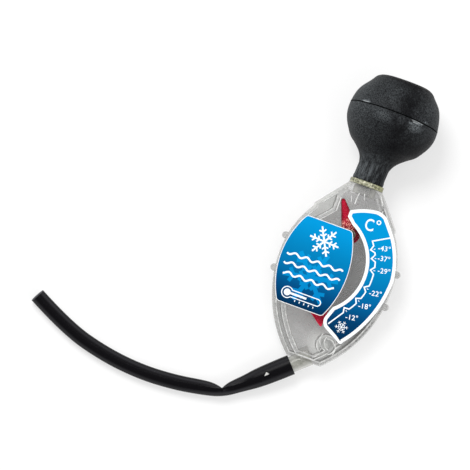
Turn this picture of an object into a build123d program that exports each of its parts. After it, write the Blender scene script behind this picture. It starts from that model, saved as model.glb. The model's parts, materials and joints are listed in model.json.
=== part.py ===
from build123d import *
import os
from math import asin, atan2, cos, degrees, hypot, radians, sin, sqrt, tan

# Dial-type antifreeze tester: a flat clear case with a swinging pointer, a rubber
# squeeze bulb on its neck and a rubber suction hose on its nipple. It lies on its back.
# The pieces are drawn lying flat, with X across the case, Y along it towards the bulb
# and Z out of its front, then laid down together. Lengths are in millimetres.

# Case outline
case_half_width = 30.7
base_half_width = 9.2
base_y = -49.2
bend_y = 8.0
upper_mid_share = 0.8762
upper_mid_y = 19.5
shoulder_share = 0.7231
shoulder_low_y = 28.3
shoulder_high_y = 30.0
neck_end_y = 46.5
base_corner_round = 1.2
base_narrowing = case_half_width - base_half_width
side_radius = (base_y**2 + base_narrowing**2) / (2 * base_narrowing)
upper_mid_x = upper_mid_share * case_half_width
shoulder_x = shoulder_share * case_half_width


# Shares of the way from the case's shoulders to the end of its neck
cone_start_share = 0.3333
cone_end_share = 0.8788
slope_share = 0.3636
throat_share = 0.4242
chamber_top_share = 0.7576
level_tip_share = 0.3536


def along_neck(share):
    """A height between the case's shoulders and the end of its neck."""
    return shoulder_high_y + share * (neck_end_y - shoulder_high_y)


# Case shells
half_depth = 8.0
wall = 1.6
rib = 1.2
edge_round = 0.6
neck_radius = 9.1
neck_cone_start_y = along_neck(cone_start_share)
neck_cone_end_y = along_neck(cone_end_share)
neck_slope_radius = 22.0
neck_slope_y = along_neck(slope_share)
fit_gap = 0.05
run_gap = 0.3

# Measuring chamber inside the ribs
chamber_inset = 6.0
chamber_base_inset = 3.6
chamber_knee_y = 16.5
chamber_throat_x = 10.8
chamber_throat_low_y = 29.8
chamber_throat_high_y = along_neck(throat_share)
chamber_meet = 1.3
chamber_top_x = 7.2
chamber_top_y = along_neck(chamber_top_share)
sweep_gap = 1.3
sweep_end_angle = 50.0

# Rim lugs and their pegs
lug_inset = 0.1
lug_x = case_half_width - lug_inset
lug_y = 8.9
lug_radius = 1.9
lug_height = 5.5
peg_radius = 0.9
peg_height = 4.6

# Locating post with its curled rib, low on the right
post_x = 8.5
post_rise = 11.6
post_y = base_y + post_rise
post_radius = 2.3
curl_radius = 4.7
post_pin_radius = 1.0
post_pin_height = 3.0

# Pointer and its pin
pivot_x = -12.2
pivot_y = 2.1
pointer_tip_radius = 35.7
pointer_rest_angle = -64.8
pointer_head_angle = 29.0
pointer_head_start = 24.5
pointer_barb = 3.6
pointer_stem_half = 2.6
pointer_tip_round = 0.6
pointer_hub_radius = 4.5
pointer_lobe_radius = 6.5
pointer_lobe_offset = 4.0
pointer_bottom_z = -2.2
pointer_top_z = 0.8
pointer_hub_rise = 0.4
weight_offset = 6.2
weight_radius = 2.6
pin_radius = 1.0
pin_run = 0.05
boss_radius = 2.6
pin_seat = 0.8

# Small level pointer high in the chamber, hung from the front wall
level_x = 0.9
level_y = 20.4
level_round_radius = 4.7
level_tip_radius = 1.1
level_rest_angle = 122.0
level_tip_y = along_neck(level_tip_share)
level_length = (level_tip_y - level_y) / sin(radians(level_rest_angle))
level_bottom_z = 2.2
level_thickness = 2.2
level_pin_radius = 1.8
level_head_radius = 2.8
level_head_thickness = 0.6
level_boss_radius = 3.2

# Neck spigot and sealing ring
spigot_radius = 5.9
spigot_bore = 4.3
spigot_ledge = 0.7
spigot_reach = 14.5
spigot_low_y = chamber_top_y - rib + spigot_ledge
spigot_high_y = neck_end_y + spigot_reach
ring_height = 2.5
ring_groove_radius = 0.35
ring_groove_count = 40

# Squeeze bulb
bulb_radius = 23.7
bulb_wall = 2.4
bulb_neck_wall = 2.17
bulb_neck_length = 9.0
# Shares of the bulb's radius: how far its centre is from the neck, and where its skin turns
bulb_centre_share = 1.2025
bulb_flare_end_share = 0.5738
bulb_flat_share = 0.5274
bulb_top_share = 0.7722
bulb_top_round_share = 0.7173
bulb_top_mid_shares = (0.6245, 0.7574)
# Shares of the way from the neck to the ball, across and along
bulb_flare_shares = (0.3796, 0.55)
bulb_mouth_y = neck_end_y + ring_height
bulb_neck_y = bulb_mouth_y + bulb_neck_length
bulb_neck_radius = spigot_radius + fit_gap + bulb_neck_wall
bulb_centre_y = bulb_neck_y + bulb_centre_share * bulb_radius
bulb_top_y = bulb_centre_y + bulb_top_share * bulb_radius
bulb_flat_radius = bulb_flat_share * bulb_radius

# Inlet nipple
nipple_angle = 221.5
nipple_root = 4.0
nipple_free = 6.6
nipple_in_hose = 16.0
nipple_radius = 4.2
nipple_barb_radius = 4.0
nipple_tip_radius = 3.2
nipple_bore = 2.5
nipple_socket_wall = 1.9
tooth_back = 1.1
tooth_length = 2.6
tooth_half_width = 0.65
tooth_side = -0.8
tooth_apex_share = 0.41
tooth_rise = 1.2

# Hose
hose_radius = 4.0
hose_bore = 2.75
cuff_radius = 5.05
cuff_length = 17.0
cuff_ease_length = 9.0
hose_hole_margin = 0.3
arc_share = 0.45
# Points ahead of the nipple, on the surface below the case's centre
hose_route = [
    (-26.0, -71.2, 4.9),
    (-34.3, -78.0, 4.1),
    (-44.5, -79.9, 4.05),
    (-58.5, -82.3, 4.05),
    (-77.0, -83.3, 4.05),
    (-97.5, -81.2, 4.05),
    (-120.8, -75.1, 4.05),
    (-141.4, -64.2, 4.05),
]

# Labels
label_thickness = 0.15
main_label_x = -11.4
main_label_y = -1.0
main_label_half_height = 23.4
main_label_half_width = 17.9
main_label_left_half_width = 18.5
main_label_left_mid_share = -0.17
main_label_end_half_width = 12.4
main_label_corner = 2.2
scale_inner_radius = 26.3
scale_low_angle = -49.6
scale_high_angle = 63.0
# The scale label's outer corners, as shares of the case's half width and of its base
scale_top_shares = [
    (-0.127, 0.585),
    (-0.124, 0.652),
    (0.094, 0.715),
    (0.306, 0.744),
    (0.410, 0.735),
    (0.495, 0.711),
]
scale_side_shares = [
    (0.700, 0.557),
    (0.879, 0.346),
    (0.970, 0.102),
    (0.862, -0.290),
    (0.518, -0.676),
]
scale_foot_shares = [
    (0.488, -0.700),
    (0.446, -0.696),
    (0.143, -0.593),
    (0.088, -0.535),
    (0.101, -0.467),
]

# Every cut runs this far past the face that it leaves
overrun = 1.0

# Resting place, worked out from the two things that touch the surface
reach_y = bulb_centre_y - base_y - edge_round
reach_z = half_depth - edge_round
rest_tilt = degrees(
    asin((bulb_radius - edge_round) / hypot(reach_y, reach_z)) - atan2(reach_z, reach_y)
)
rest_lift = bulb_radius - bulb_centre_y * sin(radians(rest_tilt))


def side_x(y, inset):
    """Half width of the lower case at height y, the given distance inside the outline."""
    centre = side_radius - case_half_width
    return sqrt((side_radius - inset) ** 2 - y**2) - centre


def polar(x, y, radius, angle):
    return (x + radius * cos(radians(angle)), y + radius * sin(radians(angle)))


def rod(x, y, radius, low, high):
    """A round bar along Z between two heights."""
    return Pos(x, y, low) * Cylinder(
        radius, high - low, align=(Align.CENTER, Align.CENTER, Align.MIN)
    )


def ring_face(edges):
    """A face from edges that stand to the right of Y, mirrored to the left."""
    half = Curve() + edges
    return make_face(half + mirror(half, about=Plane.YZ))


def case_outline():
    base_x = side_x(base_y, 0)
    mid = base_y / 2
    bend = (side_x(bend_y, 0), bend_y)
    edges = [
        Line((0, base_y), (base_x, base_y)),
        ThreePointArc((base_x, base_y), (side_x(mid, 0), mid), bend),
        ThreePointArc(bend, (upper_mid_x, upper_mid_y), (shoulder_x, shoulder_low_y)),
        Line((shoulder_x, shoulder_low_y), (shoulder_x, shoulder_high_y)),
        Line((shoulder_x, shoulder_high_y), (neck_radius, neck_end_y)),
        Line((neck_radius, neck_end_y), (0, neck_end_y)),
    ]
    face = ring_face(edges)
    corners = face.vertices().sort_by(Axis.Y)[:2]
    return fillet(corners, base_corner_round)


def chamber_outline():
    """The inside of the measuring chamber, with its right wall round the pointer's path."""
    low = base_y + chamber_base_inset
    low_x = side_x(low, chamber_inset)
    mid = low / 2
    sweep = pointer_tip_radius + sweep_gap
    meet_y = -chamber_meet
    meet_x = pivot_x + sqrt(sweep**2 - (meet_y - pivot_y) ** 2)
    side_end = (side_x(meet_y, chamber_inset), meet_y)
    sweep_end = polar(pivot_x, pivot_y, sweep, sweep_end_angle)
    sweep_mid = polar(pivot_x, pivot_y, sweep, sweep_end_angle / 2)
    knee = (-side_x(chamber_knee_y, chamber_inset), chamber_knee_y)
    edges = [
        Line((-low_x, low), (low_x, low)),
        ThreePointArc((low_x, low), (side_x(mid, chamber_inset), mid), side_end),
        Line(side_end, (meet_x, meet_y)),
        ThreePointArc((meet_x, meet_y), sweep_mid, sweep_end),
        Line(sweep_end, (chamber_throat_x, chamber_throat_high_y)),
        Line((chamber_throat_x, chamber_throat_high_y), (chamber_top_x, chamber_top_y)),
        Line((chamber_top_x, chamber_top_y), (-chamber_top_x, chamber_top_y)),
        Line((-chamber_top_x, chamber_top_y), (-chamber_throat_x, chamber_throat_high_y)),
        Line(
            (-chamber_throat_x, chamber_throat_high_y),
            (-chamber_throat_x, chamber_throat_low_y),
        ),
        Line((-chamber_throat_x, chamber_throat_low_y), knee),
        ThreePointArc(knee, (-side_x(0, chamber_inset), 0), (-low_x, low)),
    ]
    return make_face(edges)


def nipple_plane():
    """Origin where the nipple leaves the case, Z along it and X out of the front."""
    along = polar(0, 0, 1, nipple_angle)
    return Plane(origin=(0, base_y, 0), x_dir=(0, 0, 1), z_dir=(*along, 0))


def along_nipple(shape, start):
    return nipple_plane().location * Pos(0, 0, start) * shape


def bar(radius, length):
    return Cylinder(radius, length, align=(Align.CENTER, Align.CENTER, Align.MIN))


def taper(start_radius, end_radius, length):
    return Cone(
        start_radius, end_radius, length, align=(Align.CENTER, Align.CENTER, Align.MIN)
    )


def round_about_y(points):
    """A solid of revolution about Y from points that run outside the axis."""
    return revolve(make_face(Polyline(*points, close=True)), axis=Axis.Y)


def neck_solids():
    """The slope that trims the case's shoulders, and the round neck that leaves them."""
    slope = round_about_y(
        [
            (0, base_y - overrun),
            (case_half_width + neck_slope_radius, base_y - overrun),
            (case_half_width + neck_slope_radius, neck_slope_y - half_depth),
            (neck_slope_radius, neck_slope_y),
            (neck_radius, neck_end_y),
            (0, neck_end_y),
        ]
    )
    cone = round_about_y(
        [
            (0, neck_cone_start_y),
            (half_depth, neck_cone_start_y),
            (neck_radius, neck_cone_end_y),
            (neck_radius, neck_end_y),
            (0, neck_end_y),
        ]
    )
    return slope, cone


def plain_shell():
    """The front half without its bosses: a tray with an outer wall and chamber ribs."""
    outline = case_outline()
    chamber = chamber_outline()
    slope, cone = neck_solids()
    upper = Pos(0, 0, half_depth) * Box(
        4 * case_half_width, 4 * side_radius, 2 * half_depth
    )
    tray = extrude(outline, amount=half_depth)
    tray = fillet(tray.faces().sort_by(Axis.Z)[-1].edges(), edge_round)
    tray = (tray & slope) + (cone & upper)
    floor_z = half_depth - wall
    ribbed = offset(chamber, amount=rib, kind=Kind.INTERSECTION)
    inside = offset(outline, amount=-wall, kind=Kind.INTERSECTION)
    moat = extrude(inside - ribbed, amount=floor_z)
    tray = tray - (moat & slope_inside()) - extrude(chamber, amount=floor_z)
    collar_low = chamber_top_y - rib
    collar = round_about_y(
        [
            (0, collar_low),
            (neck_radius, collar_low),
            (neck_radius, neck_end_y),
            (0, neck_end_y),
        ]
    )
    socket = along_nipple(
        bar(nipple_radius + nipple_socket_wall, nipple_root + overrun + overrun),
        -nipple_root - overrun,
    )
    socket = socket & extrude(outline, amount=half_depth)
    tray = tray + (collar & upper) + socket
    for x in (-lug_x, lug_x):
        for y in (-lug_y, lug_y):
            tray = tray + rod(x, y, lug_radius, 0, lug_height)
    return tray + curl()


def slope_inside():
    """Where the space between wall and ribs may lie, clear of the trimmed shoulders."""
    return round_about_y(
        [
            (0, base_y),
            (case_half_width + neck_slope_radius, base_y),
            (case_half_width + neck_slope_radius, neck_slope_y - half_depth - wall),
            (neck_slope_radius - wall, neck_slope_y - wall),
            (neck_radius, neck_end_y - wall - wall),
            (0, neck_end_y - wall - wall),
        ]
    )


def curl():
    """The locating post and the rib that curls round it."""
    height = half_depth - wall + overrun / 2
    band = rod(post_x, post_y, curl_radius, 0, height)
    band = band - rod(post_x, post_y, curl_radius - rib, -overrun, height + overrun)
    gap = Pos(post_x, post_y - curl_radius, height / 2)
    gap = gap * Box(curl_radius, curl_radius, 2 * height)
    return (band - gap) + rod(post_x, post_y, post_radius, 0, height)


def bores(shell):
    """Cuts the passages through both halves: spigot seat, nipple seat and flow ways."""
    seat = round_about_y(
        [
            (0, spigot_low_y - fit_gap),
            (spigot_radius + fit_gap, spigot_low_y - fit_gap),
            (spigot_radius + fit_gap, neck_end_y + overrun),
            (0, neck_end_y + overrun),
        ]
    )
    throat = round_about_y(
        [
            (0, chamber_top_y - rib - rib - overrun),
            (spigot_bore, chamber_top_y - rib - rib - overrun),
            (spigot_bore, neck_end_y),
            (0, neck_end_y),
        ]
    )
    root = along_nipple(
        bar(nipple_radius + fit_gap, nipple_root + fit_gap + 2 * nipple_radius),
        -nipple_root - fit_gap,
    )
    way = along_nipple(bar(nipple_bore, 2 * nipple_root), -2 * nipple_root)
    return shell - seat - throat - root - way


def front_shell():
    shell = plain_shell()
    floor_z = half_depth - wall
    pointer_seat_z = pointer_top_z + pointer_hub_rise + run_gap
    level_top = level_bottom_z + level_thickness
    shell = shell + rod(pivot_x, pivot_y, boss_radius, pointer_seat_z, floor_z)
    shell = shell + rod(
        level_x, level_y, level_boss_radius, level_top + run_gap, floor_z
    )
    shell = bores(shell)
    shell = shell - rod(
        pivot_x, pivot_y, pin_radius, pointer_seat_z - overrun, floor_z + pin_seat
    )
    shell = shell - rod(
        level_x, level_y, level_pin_radius, level_top, floor_z + pin_seat
    )
    shell = shell - rod(
        post_x, post_y, post_pin_radius + fit_gap, -overrun, post_pin_height + fit_gap
    )
    for x in (-lug_x, lug_x):
        for y in (-lug_y, lug_y):
            shell = shell - rod(x, y, peg_radius + fit_gap, -overrun, half_depth)
    return shell


def rear_shell():
    shell = mirror(plain_shell(), about=Plane.XY)
    floor_z = -half_depth + wall
    seat_z = pointer_bottom_z - pointer_hub_rise - run_gap
    shell = shell + rod(pivot_x, pivot_y, boss_radius, floor_z, seat_z)
    shell = bores(shell)
    shell = shell - rod(
        pivot_x, pivot_y, pin_radius, floor_z - pin_seat, seat_z + overrun
    )
    shell = shell + rod(post_x, post_y, post_pin_radius, -overrun, post_pin_height)
    for x in (-lug_x, lug_x):
        for y in (-lug_y, lug_y):
            shell = shell + rod(x, y, peg_radius, -overrun, peg_height)
    return shell


def pointer_plan():
    """The arrow, stem and weighted tail, with the pivot at the origin and the tip on X."""
    half = (pointer_tip_radius - pointer_head_start) * tan(radians(pointer_head_angle))
    back = pointer_head_start - pointer_barb
    head = make_face(
        Polyline(
            (pointer_tip_radius, 0),
            (pointer_head_start, half),
            (back, pointer_stem_half),
            (0, pointer_stem_half),
            (0, -pointer_stem_half),
            (back, -pointer_stem_half),
            (pointer_head_start, -half),
            close=True,
        )
    )
    head = fillet(head.vertices().sort_by(Axis.X)[-1:], pointer_tip_round)
    lobe = Pos(-pointer_lobe_offset, 0) * Circle(pointer_lobe_radius)
    return head + lobe


def set_pointer(shape):
    return Pos(pivot_x, pivot_y, 0) * Rot(0, 0, pointer_rest_angle) * shape


def pointer():
    plate = Pos(0, 0, pointer_bottom_z) * extrude(
        pointer_plan(), amount=pointer_top_z - pointer_bottom_z
    )
    low = pointer_bottom_z - pointer_hub_rise
    high = pointer_top_z + pointer_hub_rise
    plate = plate + rod(0, 0, pointer_hub_radius, low, high)
    plate = plate - rod(0, 0, pin_radius + pin_run, low - overrun, high + overrun)
    plate = plate - rod(
        -weight_offset, 0, weight_radius, low - overrun, high + overrun
    )
    return set_pointer(plate)


def pointer_weight():
    slug = rod(-weight_offset, 0, weight_radius, pointer_bottom_z, pointer_top_z)
    edge = min(edge_round, weight_radius / 4)
    rims = slug.edges().filter_by(GeomType.CIRCLE)
    return set_pointer(chamfer(rims, edge / 2))


def pointer_pin():
    reach = half_depth - wall + pin_seat
    return rod(pivot_x, pivot_y, pin_radius, -reach, reach)


def tapered_plan(length, start_radius, end_radius):
    """Two circles on X and their outer tangents."""
    lean = asin((start_radius - end_radius) / length)
    start = (start_radius * sin(lean), start_radius * cos(lean))
    end = (length + end_radius * sin(lean), end_radius * cos(lean))
    edges = [
        Line(start, end),
        ThreePointArc(end, (length + end_radius, 0), (end[0], -end[1])),
        Line((end[0], -end[1]), (start[0], -start[1])),
        ThreePointArc((start[0], -start[1]), (-start_radius, 0), start),
    ]
    return make_face(edges)


def level_pointer():
    plan = tapered_plan(level_length, level_round_radius, level_tip_radius)
    plate = extrude(plan, amount=level_thickness)
    hole = rod(0, 0, level_pin_radius + pin_run, -overrun, level_thickness + overrun)
    turn = Rot(0, 0, level_rest_angle)
    return Pos(level_x, level_y, level_bottom_z) * turn * (plate - hole)


def level_pin():
    head_top = level_bottom_z - run_gap
    top = half_depth - wall + pin_seat
    shank = rod(level_x, level_y, level_pin_radius, head_top, top)
    head = rod(
        level_x, level_y, level_head_radius, head_top - level_head_thickness, head_top
    )
    return shank + head


def neck_spigot():
    return round_about_y(
        [
            (spigot_bore, spigot_low_y),
            (spigot_radius, spigot_low_y),
            (spigot_radius, spigot_high_y),
            (spigot_bore, spigot_high_y),
        ]
    )


def neck_ring():
    top = neck_end_y + ring_height
    inner = spigot_radius + fit_gap
    ring = round_about_y(
        [
            (inner, neck_end_y),
            (neck_radius, neck_end_y),
            (neck_radius, top),
            (inner, top),
        ]
    )
    groove = Rot(-90, 0, 0) * rod(
        neck_radius, 0, ring_groove_radius, neck_end_y - overrun, top + overrun
    )
    step = 360 / ring_groove_count
    cuts = [Rot(0, step * i, 0) * groove for i in range(ring_groove_count)]
    return ring - cuts


def on_ball(across, along):
    """A point by shares of the bulb's radius from its centre."""
    return (across * bulb_radius, bulb_centre_y + along * bulb_radius)


def bulb_outer():
    neck = (bulb_neck_radius, bulb_neck_y)
    start = (bulb_neck_radius, bulb_mouth_y)
    flare_end = on_ball(bulb_flare_end_share, -sqrt(1 - bulb_flare_end_share**2))
    across, along = bulb_flare_shares
    flare = (
        neck[0] + across * (flare_end[0] - neck[0]),
        neck[1] + along * (flare_end[1] - neck[1]),
    )
    shoulder = on_ball(sqrt(1 - bulb_top_round_share**2), bulb_top_round_share)
    rim = (bulb_flat_radius, bulb_top_y)
    edges = [
        Line((0, bulb_mouth_y), start),
        Line(start, neck),
        ThreePointArc(neck, flare, flare_end),
        ThreePointArc(flare_end, on_ball(1, 0), shoulder),
        ThreePointArc(shoulder, on_ball(*bulb_top_mid_shares), rim),
        Line(rim, (0, bulb_top_y)),
        Line((0, bulb_top_y), (0, bulb_mouth_y)),
    ]
    return revolve(make_face(edges), axis=Axis.Y)


def squeeze_bulb():
    inner = bulb_radius - bulb_wall
    bore = spigot_radius + fit_gap
    top = bulb_top_y - bulb_wall
    top_x = sqrt(inner**2 - (top - bulb_centre_y) ** 2)
    bore_y = bulb_centre_y - sqrt(inner**2 - bore**2)
    mouth = bulb_mouth_y - overrun
    edges = [
        Line((0, mouth), (bore, mouth)),
        Line((bore, mouth), (bore, bore_y)),
        ThreePointArc((bore, bore_y), (inner, bulb_centre_y), (top_x, top)),
        Line((top_x, top), (0, top)),
        Line((0, top), (0, mouth)),
    ]
    return bulb_outer() - revolve(make_face(edges), axis=Axis.Y)


def tooth_prism(margin, low, high):
    """A three-cornered block on the nipple's front, its long side along the nipple."""
    far = nipple_free + nipple_in_hose - tooth_back
    near = far - tooth_length
    plan = make_face(
        Polyline(
            (near - margin, tooth_side + tooth_half_width + margin),
            (far + margin, tooth_side + tooth_half_width + margin),
            (
                near + tooth_apex_share * tooth_length,
                tooth_side - tooth_half_width - margin,
            ),
            close=True,
        )
    )
    block = extrude(plan, amount=high - low)
    place = nipple_plane()
    side = Plane(
        origin=place.origin + place.x_dir * low, x_dir=place.z_dir, z_dir=place.x_dir
    )
    return side.location * block


def inlet_nipple():
    tube = along_nipple(bar(nipple_radius, nipple_root + nipple_free), -nipple_root)
    barb = taper(nipple_barb_radius, nipple_tip_radius, nipple_in_hose)
    tube = tube + along_nipple(barb, nipple_free)
    rise = nipple_tip_radius + tooth_rise
    tube = tube + tooth_prism(0, nipple_bore, rise)
    length = nipple_root + nipple_free + nipple_in_hose
    hole = bar(nipple_bore, length + 2 * overrun)
    return tube - along_nipple(hole, -nipple_root - overrun)


def rest_place():
    """Carries the flat drawing to where the tester lies on its bulb and lower edge."""
    return Location((0, 0, rest_lift), (rest_tilt, 0, 0))


def on_nipple(distance):
    """A point on the nipple's axis, once the tester is laid down."""
    place = nipple_plane()
    point = place.origin + place.z_dir * distance
    return (rest_place() * Location(point)).position


def hose_points():
    ahead = [Vector(*point) for point in hose_route]
    reach = nipple_free + nipple_in_hose
    return [on_nipple(nipple_free), on_nipple(reach)] + ahead


def hose_line():
    """Straight runs with the widest arcs that they allow, and a print of their radii."""
    points = hose_points()
    radii = []
    for before, here, after in zip(points, points[1:], points[2:]):
        first = here - before
        second = after - here
        turn = radians(first.get_angle(second))
        shorter = min(first.length, second.length)
        radii.append(arc_share * shorter / tan(turn / 2))
    line = FilletPolyline(*points, radius=radii)
    print("hose radii", [round(radius, 1) for radius in radii])
    print("hose length", round(line.length, 1))
    return line


def hose():
    """Laid down already: a tube, stretched where it grips the nipple and cut square."""
    line = hose_line()
    start = Plane(origin=line @ 0, z_dir=line % 0)
    tube = sweep(start * Circle(hose_radius), path=line)
    core = sweep(start * Circle(hose_bore), path=line)
    ease = taper(cuff_radius, hose_radius, cuff_ease_length)
    cuff = along_nipple(bar(cuff_radius, cuff_length), nipple_free)
    cuff = cuff + along_nipple(ease, nipple_free + cuff_length)
    seat = along_nipple(
        taper(
            nipple_barb_radius + fit_gap, nipple_tip_radius + fit_gap, nipple_in_hose
        ),
        nipple_free,
    )
    hole = tooth_prism(hose_hole_margin, nipple_bore, cuff_radius + overrun)
    return tube + rest_place() * cuff - core - rest_place() * seat - rest_place() * hole


def rim_point(shares):
    return (shares[0] * case_half_width, shares[1] * -base_y)


def scale_label():
    """The scale's label: its inner edge runs round the pointer's pivot."""
    top = [rim_point(shares) for shares in scale_top_shares]
    side = [rim_point(shares) for shares in scale_side_shares]
    foot = [rim_point(shares) for shares in scale_foot_shares]
    low = polar(pivot_x, pivot_y, scale_inner_radius, scale_low_angle)
    high = polar(pivot_x, pivot_y, scale_inner_radius, scale_high_angle)
    middle_angle = (scale_low_angle + scale_high_angle) / 2
    middle = polar(pivot_x, pivot_y, scale_inner_radius, middle_angle)
    edges = [
        Line(high, top[0]),
        Line(top[0], top[1]),
        ThreePointArc(top[1], top[2], top[3]),
        ThreePointArc(top[3], top[4], top[5]),
        Line(top[5], side[0]),
        ThreePointArc(side[0], side[1], side[2]),
        ThreePointArc(side[2], side[3], side[4]),
        ThreePointArc(side[4], foot[0], foot[1]),
        Line(foot[1], foot[2]),
        ThreePointArc(foot[2], foot[3], foot[4]),
        Line(foot[4], low),
        ThreePointArc(low, middle, high),
    ]
    return Pos(0, 0, half_depth) * extrude(make_face(edges), amount=label_thickness)


def main_label():
    top = main_label_half_height
    wide = main_label_half_width
    left = main_label_left_half_width
    middle = main_label_left_mid_share * top
    end = main_label_end_half_width
    edges = [
        Line((-end, top), (end, top)),
        ThreePointArc((end, top), (wide, 0), (end, -top)),
        Line((end, -top), (-end, -top)),
        ThreePointArc((-end, -top), (-left, middle), (-end, top)),
    ]
    face = make_face(edges)
    face = fillet(face.vertices(), main_label_corner)
    return Pos(main_label_x, main_label_y, half_depth) * extrude(
        face, amount=label_thickness
    )


def flat_pieces():
    return {
        "front_shell": front_shell(),
        "rear_shell": rear_shell(),
        "main_label": main_label(),
        "scale_label": scale_label(),
        "pointer": pointer(),
        "pointer_weight": pointer_weight(),
        "pointer_pin": pointer_pin(),
        "level_pointer": level_pointer(),
        "level_pin": level_pin(),
        "neck_spigot": neck_spigot(),
        "neck_ring": neck_ring(),
        "squeeze_bulb": squeeze_bulb(),
        "inlet_nipple": inlet_nipple(),
    }


def laid_pieces():
    """Every piece in its resting place, the origin under the middle of the tester."""
    laid = {name: rest_place() * piece for name, piece in flat_pieces().items()}
    box = Compound(children=[Part() + piece for piece in laid.values()]).bounding_box()
    shift = Pos(-box.center().X, -box.center().Y, -box.min.Z)
    laid["hose"] = hose()
    return {name: shift * piece for name, piece in laid.items()}, shift


pieces, origin_shift = laid_pieces()
print("origin moved by", origin_shift.position)
for point in hose_points():
    print("hose point", (origin_shift * Location(point)).position)
os.makedirs("parts", exist_ok=True)
for name, piece in pieces.items():
    export_step(piece, f"parts/{name}.step")
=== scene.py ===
"""Dresses a dial-type antifreeze tester: clear case, printed labels, rubber bulb and hose."""

import json
import math
from functools import cached_property

import bmesh
import bpy
from mathutils import Matrix, Vector, noise
from mathutils.bvhtree import BVHTree


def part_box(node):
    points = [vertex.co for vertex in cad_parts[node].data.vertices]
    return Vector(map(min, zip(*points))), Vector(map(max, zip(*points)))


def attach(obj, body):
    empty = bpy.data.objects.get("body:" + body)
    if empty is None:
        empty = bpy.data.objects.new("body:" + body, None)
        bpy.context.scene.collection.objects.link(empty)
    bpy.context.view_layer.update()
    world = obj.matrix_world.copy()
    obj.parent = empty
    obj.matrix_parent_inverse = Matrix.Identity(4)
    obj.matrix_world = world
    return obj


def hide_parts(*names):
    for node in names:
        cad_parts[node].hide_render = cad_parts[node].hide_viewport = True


bl_info = {
    "name": "Antifreeze tester",
    "version": (1, 0, 0),
    "blender": (4, 5, 0),
    "location": "View3D > Sidebar > Tester",
    "description": "Builds the looks of a dial-type antifreeze tester round its frame",
    "category": "Object",
}

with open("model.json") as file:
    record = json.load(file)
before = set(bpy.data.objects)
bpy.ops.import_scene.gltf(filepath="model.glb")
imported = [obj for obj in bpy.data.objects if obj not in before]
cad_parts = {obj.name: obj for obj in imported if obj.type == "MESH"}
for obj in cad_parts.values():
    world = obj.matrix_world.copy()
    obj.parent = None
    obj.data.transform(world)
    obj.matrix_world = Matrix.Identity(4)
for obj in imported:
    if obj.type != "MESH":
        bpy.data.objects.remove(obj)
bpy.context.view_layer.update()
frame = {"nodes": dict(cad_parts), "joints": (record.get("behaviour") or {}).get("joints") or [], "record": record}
MM = 0.001


def mount(name):
    return next(m for m in frame["record"]["mounts"] if m["name"] == name)


def joint(name):
    return next(j for j in frame["joints"] if j["name"] == name)


# The case's own axes: ACROSS it, ALONG it towards the bulb, and UP out of its front
ALONG = Vector(mount("bulb_top")["axis"])
UP = -Vector(mount("back_face")["axis"])
BACK = Vector(mount("back_face")["pos_m"])
PIVOT = Vector(joint("pointer_swing")["pos_m"])
HALF_DEPTH = (PIVOT - BACK).dot(UP) / MM
CENTRE = BACK + UP * HALF_DEPTH * MM
ACROSS = ALONG.cross(UP)
TURN = Matrix((ACROSS, ALONG, UP)).transposed().to_4x4()
CASE = Matrix.Translation(CENTRE) @ TURN @ Matrix.Scale(MM, 4)


def on_axes(place):
    """A place in the frame, in millimetres across and along the case."""
    away = Vector(place) - CENTRE
    return away.dot(ACROSS) / MM, away.dot(ALONG) / MM


PIVOT_X, PIVOT_Y = on_axes(PIVOT)
LEVEL_X, LEVEL_Y = on_axes(joint("level_swing")["pos_m"])
BULB_TOP_Y = on_axes(mount("bulb_top")["pos_m"])[1]
BULB_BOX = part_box("squeeze_bulb")
BULB_RADIUS = (BULB_BOX[1].x - BULB_BOX[0].x) / 2 / MM
# The case's wall, the labels' thickness and the post low on its right, as in the part's source
WALL = 1.6
FILM = 0.15
POST_X, POST_Y = 8.5, -37.6
# The top of the neck ring, and the middle of the dashes round it
RING_TOP_Y = 49.0
SEAL_Y = RING_TOP_Y - 1.25
# The small pointer: its lean, its length between the middles of its ends, and their radii
TEAR_TURN = 122.0
TEAR_LENGTH = 18.2
TEAR_ROUND, TEAR_TIP = 4.7, 1.1
# Where the print starts, a little inside the labels' front, and how high its layers stand
PRINT_Z = HALF_DEPTH + FILM - 0.01
PRINT_HEIGHT = 0.03
GHOST_HEIGHT = 0.045
INK_HEIGHT = 0.09
# The ball's middle, how far its seam hangs below that, and the seam's rise by the way across
# and forwards
BALL_Y = BULB_TOP_Y - 18.3
SEAM_DROP = 1.0
SEAM_LEAN = (-0.018, 0.06)
# Where the bulb is rubbed pale: across, above the ball's middle, reach, width and strength
WORN_SPOTS = (
    (-5.2, -3.5, 3.6, 1.7, 0.36),
    (12.4, -3.8, 3.0, 1.6, 0.7),
    (13.2, -1.2, 0.9, 3.6, 1.6),
    (9.6, -2.2, 0.7, 2.6, 1.2),
    (-15.6, 1.2, 0.8, 3.2, 1.5),
    (17.0, 0.8, 0.8, 2.4, 0.8),
)
# Painted highlights along the seam's lips: across, half the stretch and the way below the seam
SEAM_LIP_HIGHLIGHTS = ((12.6, 3.6, 0.62), (11.6, 1.9, 1.35), (-15.6, 1.8, -0.62))
# The hose's route, in metres, the same points as in the part's source, and its kinked point
HOSE_ROUTE = (
    (-0.00494, -0.07294, 0.00737),
    (-0.0168, -0.08362, 0.00613),
    (-0.02567, -0.09132, 0.0049),
    (-0.0343, -0.09714, 0.0041),
    (-0.0445, -0.09964, 0.00405),
    (-0.0585, -0.10204, 0.00405),
    (-0.0770, -0.10304, 0.00405),
    (-0.0975, -0.10094, 0.00405),
    (-0.1208, -0.09484, 0.00405),
    (-0.1414, -0.08394, 0.00405),
)
HOSE_KINK = 3


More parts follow.
